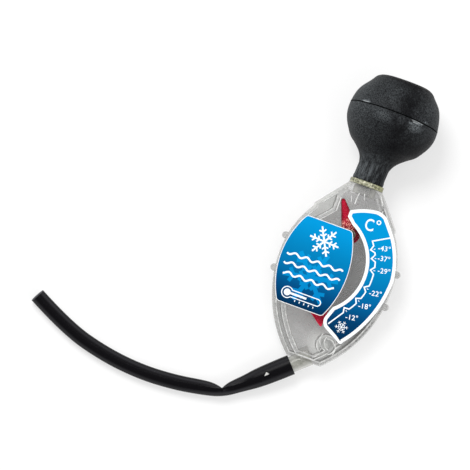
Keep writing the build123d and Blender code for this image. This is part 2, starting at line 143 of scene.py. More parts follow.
class Value:
    """A socket that can be used in sums."""

    def __init__(self, paint, socket):
        self.paint = paint
        self.socket = socket

    def math(self, operation, *others):
        values = [self, *others]
        return self.paint.node(
            "ShaderNodeMath", {"operation": operation}, dict(enumerate(values))
        )

    def __add__(self, other):
        return self.math("ADD", other)

    __radd__ = __add__

    def __sub__(self, other):
        return self.math("SUBTRACT", other)

    def __rsub__(self, other):
        return -self + other

    def __neg__(self):
        return self * -1.0

    def __abs__(self):
        return self.math("ABSOLUTE")

    def __mul__(self, other):
        return self.math("MULTIPLY", other)

    __rmul__ = __mul__

    def __truediv__(self, other):
        return self.math("DIVIDE", other)

    def __pow__(self, other):
        return self.math("POWER", other)

    def clamp(self, low=0.0, high=1.0):
        return self.math("MAXIMUM", low).math("MINIMUM", high)

    def over(self, low, high):
        """0 below low, 1 above high and straight between them."""
        return ((self - low) / (high - low)).clamp()

    def under(self, low, high):
        """1 below low, 0 above high and straight between them."""
        return 1.0 - self.over(low, high)

    def part(self, name):
        return Value(self.paint, self.socket.node.outputs[name])


class Paint:
    """One material and the nodes in it."""

    # The sockets that give a surface its look, by the words that the materials use
    looks = {
        "colour": "Base Color",
        "roughness": "Roughness",
        "metallic": "Metallic",
        "coat": "Coat Weight",
        "specular": "Specular IOR Level",
        "ior": "IOR",
        "alpha": "Alpha",
        "normal": "Normal",
    }

    def __init__(self, name):
        self.material = bpy.data.materials.new(name)
        self.material.use_nodes = True
        self.tree = self.material.node_tree
        self.tree.nodes.clear()
        self.output = self.tree.nodes.new("ShaderNodeOutputMaterial")

    def node(self, kind, settings=None, inputs=None):
        """Adds a node. A ramp's stops are a setting, and a hex word is a colour."""
        made = self.tree.nodes.new(kind)
        for name, value in (settings or {}).items():
            if name == "stops":
                self.fill_ramp(made.color_ramp, value)
            else:
                setattr(made, name, value)
        for name, value in (inputs or {}).items():
            socket = made.inputs[name]
            if isinstance(value, Value):
                self.tree.links.new(value.socket, socket)
            else:
                socket.default_value = rgba(value) if isinstance(value, str) else value
        return Value(self, next(out for out in made.outputs if out.enabled))

    @staticmethod
    def fill_ramp(ramp, stops):
        while len(ramp.elements) < len(stops):
            ramp.elements.new(1.0)
        for element, (position, colour) in zip(ramp.elements, stops):
            element.position = position
            element.color = rgba(colour)

    def coordinates(self, kind):
        return self.node("ShaderNodeTexCoord").part(kind)

    @cached_property
    def place(self):
        """Where the surface is, in millimetres on the case's own axes."""
        inputs = {
            "Vector": self.coordinates("Object"),
            "Location": CENTRE,
            "Rotation": TURN.to_euler(),
            "Scale": (MM, MM, MM),
        }
        return self.node("ShaderNodeMapping", {"vector_type": "TEXTURE"}, inputs)

    @cached_property
    def axes(self):
        """That place across and along the case and out of its front."""
        split = self.node("ShaderNodeSeparateXYZ", inputs={"Vector": self.place})
        return split, split.part("Y"), split.part("Z")

    def stretched(self, x, y, z, place=None):
        """A place with its axes scaled, so that a pattern is drawn out where a scale is low."""
        inputs = {"Vector": place or self.place, "Scale": (x, y, z)}
        return self.node("ShaderNodeMapping", inputs=inputs)

    def around(self, x, y, wide=1.0):
        """Distance in millimetres from a line through the case at x, y."""
        across, along, _ = self.axes
        return (((across - x) / wide) ** 2.0 + (along - y) ** 2.0) ** 0.5

    def facing_up(self):
        """1 where a surface faces out of the case's front, and -1 where it faces back."""
        normal = self.node("ShaderNodeNewGeometry").part("Normal")
        settings = {"operation": "DOT_PRODUCT"}
        return self.node("ShaderNodeVectorMath", settings, {0: normal, 1: UP}).part("Value")

    def noise(self, scale, detail=3.0, rough=0.55, warp=0.0, place=None):
        inputs = {"Vector": place or self.place, "Scale": scale, "Detail": detail}
        inputs |= {"Roughness": rough, "Distortion": warp}
        return self.node("ShaderNodeTexNoise", inputs=inputs)

    def ramp(self, share, stops):
        return self.node("ShaderNodeValToRGB", {"stops": stops}, {"Fac": share})

    def mix(self, share, first, second):
        """Two colours, the second by the given share."""
        inputs = {"Factor": share, 6: first, 7: second}
        return self.node("ShaderNodeMix", {"data_type": "RGBA"}, inputs).part(2)

    def bump(self, height, distance, strength):
        inputs = {"Height": height, "Distance": distance, "Strength": strength}
        return self.node("ShaderNodeBump", inputs=inputs)

    def finish(self, shader):
        """Ends the material with its shader."""
        self.tree.links.new(shader.socket, self.output.inputs["Surface"])
        return self.material

    def principled(self, **values):
        inputs = {self.looks[name]: value for name, value in values.items()}
        return self.finish(self.node("ShaderNodeBsdfPrincipled", inputs=inputs))


def rgba(colour):
    """A colour from a hex word, or from numbers that are linear already."""
    if isinstance(colour, str):
        parts = [int(colour[i : i + 2], 16) / 255 for i in (1, 3, 5)]
        parts = [c / 12.92 if c <= 0.04045 else ((c + 0.055) / 1.055) ** 2.4 for c in parts]
        return (*parts, 1.0)
    return (*colour[:3], 1.0)


# Materials


def clear_plastic(name, veil, dark, light, wall_veil, dim=0.0):
    """Clear moulded plastic: thin veils of grey, paler in its walls and round the post; painted shade darkens it
    behind the dial and low on its right, and its left shoulder is paler, partly as a painted highlight.
    """
    paint = Paint(name)
    across, along, _ = paint.axes
    flow = paint.noise(0.12, 3.0)
    fine = paint.noise(1.3, 3.0)
    wall = abs(paint.facing_up()).under(0.55, 0.95)
    reach = paint.around(PIVOT_X, PIVOT_Y)
    # Painted shade, as deep as dim: darker between the labels, where they cast their shadow, and low on the right
    window = reach.under(27.0, 32.0) * across.over(-8.0, 2.0)
    foot = across.over(16.0, 22.0) * along.under(-21.0, -9.0)
    shade = (window * 0.87 + foot * 0.95).clamp() * dim
    blots = paint.noise(0.55, 3.0, 0.7).over(0.35, 0.65) * 0.55 + flow * 0.45
    # Paler on the left shoulder, partly a painted highlight, and round the post
    shoulder = across.under(-15.0, -3.0) * along.over(17.0, 27.0)
    post = paint.around(POST_X, POST_Y).under(5.0, 11.0)
    pale_and_highlight = (shoulder * 0.6 + post * 0.85).clamp()
    tone = paint.mix(pale_and_highlight, paint.mix(blots, dark, light), "#eef0ec")
    tone = paint.mix(shade, tone, "#555555")
    alpha = wall * wall_veil + (fine * 2.0 - 1.0) * veil * 0.25 + shade * 0.12
    return paint.principled(
        colour=paint.mix(wall * 0.8, tone, "#e9e9e4"),
        roughness=fine.over(0.4, 0.8) * 0.1 + 0.08,
        ior=1.49,
        alpha=(alpha + veil).clamp(),
        normal=paint.bump(flow, 0.0004, 0.25),
    )


def veil_line_and_highlight(name, dark, light, veil):
    """A broken line of white or grey veil in clear plastic; the pale lines are partly painted highlights on the
    chamber's walls and the neck's cone.
    """
    paint = Paint(name)
    breaks = paint.noise(0.35, 3.0, 0.6)
    return paint.principled(
        colour=paint.mix(breaks, dark, light),
        roughness=0.3,
        alpha=breaks.over(0.25, 0.7) * veil + veil * 0.3,
    )


def blue_print(name, stops, low, high, lean=0.0):
    """Printed blue that deepens from the bulb's end of a label to its foot."""
    paint = Paint(name)
    across, along, _ = paint.axes
    fade = (along + across * lean).over(low, high)
    dots = paint.noise(5.0, 2.0)
    return paint.principled(
        colour=paint.ramp(fade + dots * 0.03 - 0.015, stops),
        roughness=dots * 0.1 + 0.28,
        specular=0.03,
    )


def matt_pale(name, dark, light, screen=7.0):
    """Opaque and pale, with a fine screen in it: ink, label film, the tooth's pale top."""
    paint = Paint(name)
    dots = paint.noise(screen, 2.0)
    return paint.principled(
        colour=paint.mix(dots, dark, light),
        roughness=dots * 0.1 + 0.3,
        specular=0.1,
    )


def tear_edge(paint):
    """From 0 along the middle of the small pointer to 1 at its edges."""
    across, along, _ = paint.axes
    turn = math.radians(TEAR_TURN)
    run = (across - LEVEL_X) * math.cos(turn) + (along - LEVEL_Y) * math.sin(turn)
    off = (along - LEVEL_Y) * math.cos(turn) - (across - LEVEL_X) * math.sin(turn)
    half = run * ((TEAR_TIP - TEAR_ROUND) / TEAR_LENGTH) + TEAR_ROUND
    side = abs(off) / half.clamp(TEAR_TIP, TEAR_ROUND)
    return (side.over(0.5, 0.95) + run.over(TEAR_LENGTH - 0.6, TEAR_LENGTH + TEAR_TIP)).clamp()


def red_plastic(name, dark, light, edge):
    """Crimson plastic, clouded by its flow; the small pointer glitters by its hub."""
    paint = Paint(name)
    flow = paint.noise(0.35, 3.0, warp=0.6)
    base = paint.mix(flow.over(0.35, 0.65), dark, light)
    near_hub = paint.around(LEVEL_X, LEVEL_Y).under(4.0, 7.5)
    shade = (near_hub * 0.8 + tear_edge(paint) * edge).clamp()
    base = paint.mix(shade, base, "#5e0418")
    glitter = 0.0
    for x, y, reach in ((-3.4, 4.3, 3.6), (-0.6, 3.4, 2.4)):
        spot = paint.around(LEVEL_X + x, LEVEL_Y + y).under(reach * 0.6, reach)
        glitter = spot + glitter
    glitter = glitter.clamp() * paint.noise(1.5, 2.0, 0.7).over(0.51, 0.57)
    return paint.principled(
        colour=paint.mix(glitter * 0.9, base, "#ffb4a2"),
        roughness=flow * 0.15 + 0.3,
        specular=0.05,
        normal=paint.bump(flow, 0.0003, 0.2),
    )


def brushed_metal(name, dark, light, rough):
    """Turned metal with fine rings."""
    paint = Paint(name)
    grain = paint.noise(3.0, 4.0, warp=1.0)
    return paint.principled(
        colour=paint.mix(grain, dark, light),
        metallic=1.0,
        roughness=grain * 0.2 + rough,
    )


def amber_seal():
    """Cream seal with dark dashes round its middle, greener to the right."""
    paint = Paint("amber_seal")
    across, along, _ = paint.axes
    blots = paint.noise(0.8, 4.0)
    greys = paint.ramp(blots, ((0.35, "#6a6b54"), (0.5, "#96967c"), (0.66, "#dcdac2")))
    tint = paint.mix(across.over(2.0, 8.0) * 0.75, greys, "#9d9e66")
    rise = abs(along - SEAL_Y)
    dashes = paint.noise(1.0, 2.0, 0.7, place=paint.stretched(1.5, 0.5, 1.5))
    dashes = dashes.over(0.5, 0.56) * rise.under(0.35, 0.7)
    foot = (SEAL_Y - along).over(0.85, 1.15)
    return paint.principled(
        colour=paint.mix((dashes * 0.85 + foot * 0.7).clamp(), tint, "#34331f"),
        roughness=blots * 0.2 + 0.2,
        coat=0.3,
        normal=paint.bump(blots, 0.0002, 0.4),
    )


def dust_and_sheen_rubber():
    """Matt black rubber, greyed by handling, scuffed below its seam and speckled on its flanks; the grey is partly
    painted sheen towards its top, on its left flank and in streaks down its neck. Painted highlights line the
    seam's lips, and painted shade keeps the seam's groove black.
    """
    paint = Paint("dust_and_sheen_rubber")
    across, along, up = paint.axes
    clouds = paint.noise(0.075, 4.0, 0.6, 0.3)
    specks = paint.noise(1.15, 5.0, 0.75)
    fine = paint.noise(2.1, 3.0, 0.8)
    grain = paint.noise(3.5, 3.0)
    front = up.over(0.0, 4.0)
    below = across * SEAM_LEAN[0] + up * SEAM_LEAN[1] + (BALL_Y - SEAM_DROP) - along
    band = below.over(-0.6, 0.4) * below.under(2.0, 7.5)
    patches = paint.noise(0.13, 2.0, place=paint.stretched(1.0, 0.1, 0.4)).over(0.5, 0.64)
    scuff = band * patches * specks.over(0.42, 0.6) * 0.3
    worn = 0.0
    for x, rise, reach, wide, strength in WORN_SPOTS:
        spot = paint.around(x, BALL_Y + rise, wide).under(reach * 0.2, reach)
        worn = spot * fine.over(0.44, 0.54) * strength + worn
    scuff = (scuff + worn * front).clamp()
    # Painted shade: the seam's groove is kept black
    seam_groove_shade = abs(below).under(0.0, 0.5)
    # Painted highlights on the seam's lips
    lip_highlights = 0.0
    for x, half, drop in SEAM_LIP_HIGHLIGHTS:
        reach = abs(across - x).under(half * 0.6, half)
        line = abs(below - drop).under(0.0, 0.32)
        lip_highlights = reach * line * specks.over(0.4, 0.5) + lip_highlights
    lip_highlights = lip_highlights.clamp() * front
    # Painted light: the handling dust shows more towards the top
    lit = along.over(68.0, 84.0) * 0.75 + 0.25
    handling_dust_and_sheen = clouds.over(0.4, 0.68) * specks.over(0.46, 0.6) * lit
    # Grey speckle on the flanks with painted sheen, most on the left
    flank_dust_and_sheen = (-across).over(-6.0, 22.0) * 0.42 + along.over(80.0, 104.0) * 0.05 + 0.05
    flank_dust_and_sheen = across.over(9.0, 20.0) * along.over(70.0, 84.0) * 0.26 + flank_dust_and_sheen
    # Painted sheen: grey streaks drawn down the neck, more on its left
    neck = along.under(54.0, 66.0) * ((-across).over(-3.0, 4.0) * 0.22 + 0.43)
    drawn = paint.noise(0.7, 4.0, 0.7, place=paint.stretched(1.0, 0.15, 1.0))
    neck = neck * drawn.over(0.42, 0.62)
    dust = handling_dust_and_sheen * 0.34 + flank_dust_and_sheen * fine.over(0.42, 0.58) + neck
    dust = (dust + scuff).clamp() * (1.0 - seam_groove_shade)
    dust = dust * (1.0 - along.over(BULB_TOP_Y - 2.6, BULB_TOP_Y - 0.9) * 0.9)
    greyed = paint.mix(dust, "#030204", "#696e71")
    return paint.principled(
        colour=paint.mix(lip_highlights * 0.8, greyed, "#b4b8ba"),
        roughness=dust * 0.25 + 0.45,
        specular=0.05,
        normal=paint.bump(grain + clouds * 2.0, 0.00025, 0.55),
    )


def hose_rubber():
    """Smooth black hose with faint drag lines and grey specks; painted highlights run along its flanks, stronger
    by the kink, and the rim of its cut end is paler.
    """
    paint = Paint("hose_rubber")
    across, along, _ = paint.axes
    drawn = paint.stretched(1.0, 30.0, 1.0, paint.coordinates("UV"))
    lines = paint.noise(3.0, 4.0, place=drawn)
    specks = paint.noise(1.4, 4.0, 0.7)
    dust = specks.over(0.55, 0.8) * 0.35
    facing = paint.facing_up()
    # Painted highlights: pale bands along both flanks of the tube
    flank_highlight = facing.over(0.5, 0.64) * facing.under(0.78, 0.93)
    flank_highlight = flank_highlight * (lines.over(0.35, 0.6) * 0.6 + 0.4)
    kink, before, end = (CASE.inverted() @ Vector(HOSE_ROUTE[i]) for i in (HOSE_KINK, -2, -1))
    run = (end - before).normalized()
    past_end = (across - end.x) * run.x + (along - end.y) * run.y
    rim = past_end.over(-0.75, -0.35) * facing.over(0.2, 0.5)
    kink_nearness = paint.around(kink.x, kink.y).under(5.0, 22.0)
    # The worn share is the painted flank highlights, stronger near the kink, and the paler rim of the cut end
    worn = (flank_highlight * (kink_nearness * 0.1 + 0.24) + rim * 0.8).clamp()
    return paint.principled(
        colour=paint.mix(worn, paint.mix(dust, "#0b0a0d", "#28272b"), "#5c5c60"),
        roughness=lines * 0.1 + dust * 0.2 + 0.2 - kink_nearness * 0.1,
        specular=0.05,
        normal=paint.bump(lines + specks * 0.4, 0.0002, 0.25),
    )


def dark_plastic():
    """Dark brown moulded plastic."""
    paint = Paint("dark_plastic")
    grain = paint.noise(3.0, 3.0)
    return paint.principled(
        colour=paint.mix(grain, "#1c1715", "#3a302c"),
        roughness=grain * 0.2 + 0.35,
    )


def pale_floor():
    """White table: the camera sees it nearly white, and it keeps a soft shadow."""
    paint = Paint("pale_floor")
    white = paint.noise(3.0, 2.0, place=paint.coordinates("Object"))
    white = paint.mix(white, "#f6f6f6", "#fafafa")
    diffuse = paint.node("ShaderNodeBsdfDiffuse", inputs={"Color": white})
    glow = paint.node("ShaderNodeEmission", inputs={"Color": "#ffffff"})
    path = paint.node("ShaderNodeLightPath")
    seen = path.part("Is Camera Ray") + path.part("Is Glossy Ray")
    seen = (seen + path.part("Is Transmission Ray")).clamp()
    inputs = {0: seen * 0.55, 1: diffuse, 2: glow}
    return paint.finish(paint.node("ShaderNodeMixShader", inputs=inputs))


# Shapes

# The cosine past which a mitre grows no longer, and the step that keeps crossed strokes apart
MITRE_LIMIT = 0.4
STROKE_STEP = 0.001
# The font's size and boldness, as shares of a digit's height, and its spacing
FONT_SIZE = 1.42
FONT_BOLD = 0.014
FONT_SPACING = 1.06


def ramp(value, low, high):
    """0 below low, 1 above high and straight between them."""
    return min(1.0, max(0.0, (value - low) / (high - low)))


def bell(value, middle, reach):
    """1 at the middle, fading on both sides."""
    return math.exp(-(((value - middle) / reach) ** 2))


def put(name, data):
    """Puts a new object in the scene."""
    made = bpy.data.objects.new(name, data)
    bpy.context.scene.collection.objects.link(made)
    return made


def mesh_of(bm, name):
    mesh = bpy.data.meshes.new(name)
    bm.to_mesh(mesh)
    bm.free()
    return mesh


def show(mesh, name, material, slot, place=CASE, sharp=35.0, body="case"):
    """Makes a mesh a piece that rides on a body of the tester."""
    mesh.transform(place)
    mesh.shade_smooth()
    mesh.set_sharp_from_angle(angle=math.radians(sharp))
    mesh.materials.clear()
    mesh.materials.append(material)
    piece = put(name, mesh)
    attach(piece, body)
    return piece


def keep(bm, name, material, slot, **settings):
    """Turns a bmesh drawn in millimetres on the case's axes into a piece of the tester."""
    bmesh.ops.remove_doubles(bm, verts=bm.verts, dist=1e-6)
    bmesh.ops.recalc_face_normals(bm, faces=bm.faces)
    return show(mesh_of(bm, name), name, material, slot, **settings)


def from_curve(data):
    """The mesh of a curve or of words."""
    line = put(data.name, data)
    graph = bpy.context.evaluated_depsgraph_get()
    mesh = bpy.data.meshes.new_from_object(line.evaluated_get(graph))
    bpy.data.objects.remove(line)
    return mesh


def paint_node(name, material):
    """Gives a carried-over piece its finish."""
    piece = frame["nodes"][name]
    piece.data.materials.clear()
    piece.data.materials.append(material)


def thicken(bm, faces, low, height):
    """Raises flat faces into a plate from low to low + height."""
    verts = {v for f in faces for v in f.verts}
    bmesh.ops.translate(bm, verts=list(verts), vec=(0, 0, low))
    raised = bmesh.ops.extrude_face_region(bm, geom=faces)["geom"]
    top = [v for v in raised if isinstance(v, bmesh.types.BMVert)]
    bmesh.ops.translate(bm, verts=top, vec=(0, 0, height))


def ink(bm, faces, height=INK_HEIGHT):
    """Raises flat faces into a layer of print on a label."""
    thicken(bm, faces, PRINT_Z, height)


def ribbon(bm, points, width, closed=False):
    """A flat band of even width along points, mitred at its corners."""
    spots = [Vector(point) for point in points]
    runs = [(after - spot).normalized() for spot, after in zip(spots, spots[1:] + spots[:1])]
    if not closed:
        runs[-1] = runs[-2]
    sides = ([], [])
    for i, spot in enumerate(spots):
        first = runs[i - 1] if i or closed else runs[0]
        middle = (first + runs[i]).normalized()
        normal = Vector((-middle.y, middle.x))
        reach = width / 2 / max(MITRE_LIMIT, normal.dot(Vector((-first.y, first.x))))
        for side, sign in zip(sides, (1, -1)):
            corner = spot + normal * reach * sign
            side.append(bm.verts.new((corner.x, corner.y, 0)))
    loops = []
    for side in sides:
        after = side[1:] + side[:1] if closed else side[1:]
        loops += [bm.edges.new(pair) for pair in zip(side, after)]
    return bmesh.ops.bridge_loops(bm, edges=loops)["faces"]


def on_ring(x, y, radius, degrees):
    """A point on a circle."""
    turn = math.radians(degrees)
    return (x + radius * math.cos(turn), y + radius * math.sin(turn))


def ring_points(x, y, radius, start, end, steps):
    """Points along an arc from start to end, in degrees."""
    turns = [start + (end - start) * i / steps for i in range(steps + 1)]
    return [on_ring(x, y, radius, turn) for turn in turns]


def ring(bm, x, y, radius, width, steps):
    """A flat ring whose band has its middle at the radius."""
    points = ring_points(x, y, radius, 0, 360, steps)[:-1]
    return ribbon(bm, points, width, closed=True)


def curve_through(start, middle, end, steps):
    """An arc of a circle through three points."""
    a, b, c = (Vector(p) for p in (start, middle, end))
    ab, ac = b - a, c - a
    cross = 2 * (ab.x * ac.y - ab.y * ac.x)
    centre_x = (ac.y * ab.length_squared - ab.y * ac.length_squared) / cross
    centre_y = (ab.x * ac.length_squared - ac.x * ab.length_squared) / cross
    centre = a + Vector((centre_x, centre_y))
    runs = (p - centre for p in (a, b, c))
    first, mid, last = (math.degrees(math.atan2(run.y, run.x)) for run in runs)
    sweep = (last - first) % 360
    if (mid - first) % 360 > sweep:
        sweep -= 360
    return ring_points(*centre, (a - centre).length, first, first + sweep, steps)


def turned(x, y, radians):
    """Turns a flat shape about its own middle and carries that to x, y."""
    return Matrix.Translation((x, y, 0)) @ Matrix.Rotation(radians, 4, "Z")


def disc(bm, x, y, radius):
    place = Matrix.Translation((x, y, 0))
    made = bmesh.ops.create_circle(bm, cap_ends=True, segments=32, radius=radius, matrix=place)
    return list({f for v in made["verts"] for f in v.link_faces})


def on_case(node):
    """A copy of a carried-over piece, on the case's axes in millimetres."""
    bm = bmesh.new()
    bm.from_mesh(frame["nodes"][node].data)
    bmesh.ops.transform(bm, matrix=CASE.inverted(), verts=bm.verts)
    bmesh.ops.remove_doubles(bm, verts=bm.verts, dist=1e-3)
    return bm


def film_top(node):
    """The front face of a label, on the case's axes in millimetres, as one face."""
    bm = on_case(node)
    sides = [f for f in bm.faces if f.normal.z < 0.9]
    bmesh.ops.delete(bm, geom=sides, context="FACES")
    bmesh.ops.dissolve_faces(bm, faces=bm.faces[:])
    bmesh.ops.translate(bm, verts=bm.verts, vec=(0, 0, -bm.verts[:][0].co.z))
    return bm


def printed_area(node, name, margin, material):
    """Colour printed on a label up to a margin from its edge."""
    bm = film_top(node)
    inner = bm.faces[:]
    bmesh.ops.inset_region(
        bm, faces=inner, thickness=margin, use_even_offset=True, use_boundary=True
    )
    rim = [f for f in bm.faces if f not in inner]
    bmesh.ops.delete(bm, geom=rim, context="FACES")
    ink(bm, bm.faces[:], PRINT_HEIGHT)
    keep(bm, name, material, "label_print")


def snowflake(name, material, height, x, y, radius, stroke, turn, barbs):
    """Prints six arms with pairs of slanted barbs, each at a share of the arm."""
    bm = bmesh.new()
    bars = []
    for share, reach in barbs:
        root = (radius * share, 0)
        tip = (root[0] + radius * reach * 0.5, radius * reach * 0.87)
        bars += [(root, tip), (root, (tip[0], -tip[1]))]
    strokes = [((0, 0), (radius, 0), stroke)]
    strokes += [(start, end, stroke * 0.85) for start, end in bars]
    faces = []
    for i in range(6):
        arm = turned(x, y, math.radians(turn + 60 * i))
        for start, end, width in strokes:
            middle = (Vector(start) + Vector(end)) / 2
            run = Vector(end) - Vector(start)
            place = arm @ turned(middle.x, middle.y, math.atan2(run.y, run.x))
            place = place @ Matrix.Diagonal((run.length / 2, width / 2, 1, 1))
            made = bmesh.ops.create_grid(bm, x_segments=1, y_segments=1, size=1.0, matrix=place)
            faces += {f for v in made["verts"] for f in v.link_faces}
    for i, face in enumerate(faces):
        ink(bm, [face], height + STROKE_STEP * i)
    keep(bm, name, material, "label_print")


def words(name, text, height, place, material):
    """Prints plain numbers, centred on their place."""
    data = bpy.data.curves.new(name, "FONT")
    data.body = text
    data.align_x = "CENTER"
    data.align_y = "CENTER"
    data.size = height * FONT_SIZE
    data.offset = height * FONT_BOLD
    data.space_character = FONT_SPACING
    data.extrude = INK_HEIGHT / 2
    data.resolution_u = 4
    mesh = from_curve(data)
    mesh.transform(place)
    mesh.transform(Matrix.Translation((0, 0, PRINT_Z + INK_HEIGHT / 2)))
    bm = bmesh.new()
    bm.from_mesh(mesh)
    keep(bm, name, material, "label_print")


# Sizes that a user would change


class TesterHose(bpy.types.PropertyGroup):
    diameter: bpy.props.FloatProperty(
        name="Diameter",
        description="Outer diameter of the hose",
        default=0.008,
        unit="LENGTH",
    )
    wall: bpy.props.FloatProperty(
        name="Wall",
        description="Thickness of the hose's wall",
        default=0.00125,
        unit="LENGTH",
    )
    length: bpy.props.FloatProperty(
        name="Length",
        description="Length of the hose from the nipple to its open end",
        default=0.149,
        unit="LENGTH",
    )
    pinch: bpy.props.FloatProperty(
        name="Pinch",
        description="Share of its width that the hose loses at the kink",
        default=0.95,
        subtype="FACTOR",
    )


class TesterBulb(bpy.types.PropertyGroup):
    wall: bpy.props.FloatProperty(
        name="Wall",
        description="Thickness of the bulb's wall in millimetres",
        default=2.4,
    )
    seam: bpy.props.FloatProperty(
        name="Seam",
        description="How far the seam stands out, in millimetres",
        default=0.14,
    )


class TesterLabels(bpy.types.PropertyGroup):
    azure: bpy.props.FloatVectorProperty(
        name="Azure",
        description="Colour at the bulb's end of the labels",
        default=rgba("#0090cf")[:3],
        subtype="COLOR",
    )
    navy: bpy.props.FloatVectorProperty(
        name="Navy",
        description="Colour at the foot of the labels",
        default=rgba("#002b4e")[:3],
        subtype="COLOR",
    )
    border: bpy.props.FloatProperty(
        name="Border",
        description="White border of the scale's label in millimetres",
        default=1.75,
    )
    edge: bpy.props.FloatProperty(
        name="Edge",
        description="White edge of the main label in millimetres",
        default=0.32,
    )


class TesterStage(bpy.types.PropertyGroup):
    lamp: bpy.props.FloatProperty(
        name="Lamp",
        description="Power of the main softbox in watts",
        default=7.0,
    )
    sky: bpy.props.FloatProperty(
        name="Sky",
        description="Strength of the even light from all sides",
        default=0.62,
    )


# Pieces


class TESTER_OT_stage(bpy.types.Operator):
    """Sets the camera, the floor and the lamps."""

    bl_idname = "tester.stage"
    bl_label = "Stage"

    # What the camera takes in and how far off it stands, in metres, where on the case it
    # aims, in millimetres, and its turn, in degrees
    frame_width = 0.2444
    distance = 1.25
    aim_x, aim_y = -55.4, -0.2
    lean = 20.0
    # The sensor's width in millimetres, and how far it sees and the floor's side in metres
    sensor = 36.0
    farthest = 20.0
    floor_size = 6.0
    # Each lamp's place and size, in metres, and its share of the power
    lamps = {
        "softbox": ((-0.45, 0.35, 0.9), 0.5, 1.0),
        "fill": ((0.7, -0.3, 0.7), 0.6, 0.35),
    }

    def execute(self, context):
        settings = context.scene.tester_stage
        self.camera(context)
        self.floor()
        for name, (spot, size, share) in self.lamps.items():
            self.lamp(name, Vector(spot), size, settings.lamp * share)
        self.sky(context, settings.sky)
        return {"FINISHED"}

    def camera(self, context):
        turn = math.radians(self.lean)
        up = ALONG * math.cos(turn) - ACROSS * math.sin(turn)
        right = up.cross(UP)
        aim = CASE @ Vector((self.aim_x, self.aim_y, 0))
        data = bpy.data.cameras.new("camera")
        data.lens = self.sensor * self.distance / self.frame_width
        data.sensor_width = self.sensor
        data.clip_end = self.farthest
        camera = put("camera", data)
        basis = Matrix((right, up, UP)).transposed().to_4x4()
        camera.matrix_world = Matrix.Translation(aim + UP * self.distance) @ basis
        context.scene.camera = camera
        context.scene.view_settings.view_transform = "Standard"

    def floor(self):
        bm = bmesh.new()
        bmesh.ops.create_grid(bm, x_segments=1, y_segments=1, size=self.floor_size / 2)
        mesh = mesh_of(bm, "floor")
        mesh.materials.append(pale_floor())
        put("floor", mesh)

    def lamp(self, name, spot, size, power):
        data = bpy.data.lights.new(name, "AREA")
        data.shape = "DISK"
        data.size = size
        data.energy = power
        towards = spot.to_track_quat("Z", "Y")
        put(name, data).matrix_world = Matrix.LocRotScale(spot, towards, None)

    def sky(self, context, strength):
        world = bpy.data.worlds.new("sky")
        world.use_nodes = True
        back = world.node_tree.nodes["Background"]
        back.inputs["Color"].default_value = (1.0, 1.0, 1.0, 1.0)
        back.inputs["Strength"].default_value = strength
        context.scene.world = world


